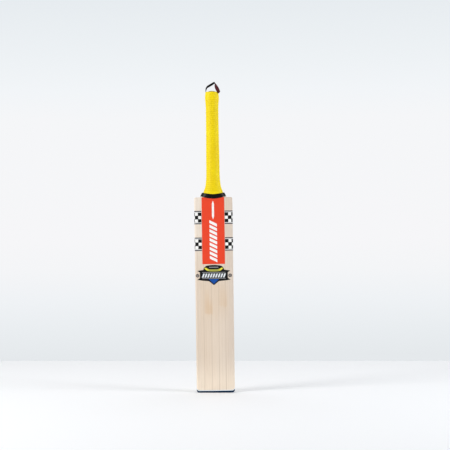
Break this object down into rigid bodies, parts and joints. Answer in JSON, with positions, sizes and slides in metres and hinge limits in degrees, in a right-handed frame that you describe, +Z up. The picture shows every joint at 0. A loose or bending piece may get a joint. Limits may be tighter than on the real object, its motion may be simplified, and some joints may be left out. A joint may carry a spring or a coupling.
{
  "type": "cricket bat",
  "caption": "Willow cricket bat with a spliced cane handle, ribbed rubber grip, toe guard, printed stickers and a hanging loop that flops over.",
  "frame": {"origin": "centre of the toe's flat resting face", "axes": "+Z up along the handle, -Y the way the playing face looks, +X to the right of someone looking at the face"},
  "size_m": [0.1084, 0.0768, 0.8774],
  "materials": {
    "willow": "raw willow, fine sanded, lightly burnished",
    "toe_rubber": "dark blue rubber, satin",
    "cane": "split cane, turned and varnished",
    "spring_rubber": "dark sheet rubber",
    "twine": "glued linen twine",
    "grip_rubber": "yellow ribbed rubber, satin",
    "black_collar": "black, glossy",
    "black_cap": "black, satin",
    "webbing": "narrow woven tape, dark maroon with black edges",
    "red_label": "printed film, red-orange with plain white shapes, satin",
    "back_label": "printed film, red-orange with plain white and black shapes, satin",
    "badge_print": "printed film, black with plain yellow and blue shapes, satin",
    "chequer_print": "printed film, black and white chequers, satin",
    "dot_print": "printed film, grey rings, satin"
  },
  "bodies": {
    "bat": {"blade": "willow", "toe_guard": "toe_rubber", "cane_front_left": "cane", "cane_front_middle": "cane", "cane_front_right": "cane", "cane_inner_front_left": "cane", "cane_inner_front_middle": "cane", "cane_inner_front_right": "cane", "cane_inner_back_left": "cane", "cane_inner_back_middle": "cane", "cane_inner_back_right": "cane", "cane_back_left": "cane", "cane_back_middle": "cane", "cane_back_right": "cane", "rubber_spring_front": "spring_rubber", "rubber_spring_middle": "spring_rubber", "rubber_spring_back": "spring_rubber", "twine_binding": "twine", "grip": "grip_rubber", "collar": "black_collar", "end_cap": "black_cap", "loop_tail_left": "webbing", "loop_tail_right": "webbing", "front_label": "red_label", "back_label": "back_label", "badge": "badge_print", "edge_wrap_lower_left": "chequer_print", "edge_wrap_lower_right": "chequer_print", "edge_wrap_upper_left": "chequer_print", "edge_wrap_upper_right": "chequer_print", "round_sticker_left": "dot_print", "round_sticker_right": "dot_print"},
    "loop": {"hang_loop": "webbing"}
  },
  "joints": [
    {"name": "loop_flop", "type": "hinge", "parent": "bat", "child": "loop", "pos_m": [0, -0.009, 0.8552], "axis": [1, 0, 0], "range_deg": [-80, 80], "stiffness_Nm_per_rad": 0.002}
  ]
}
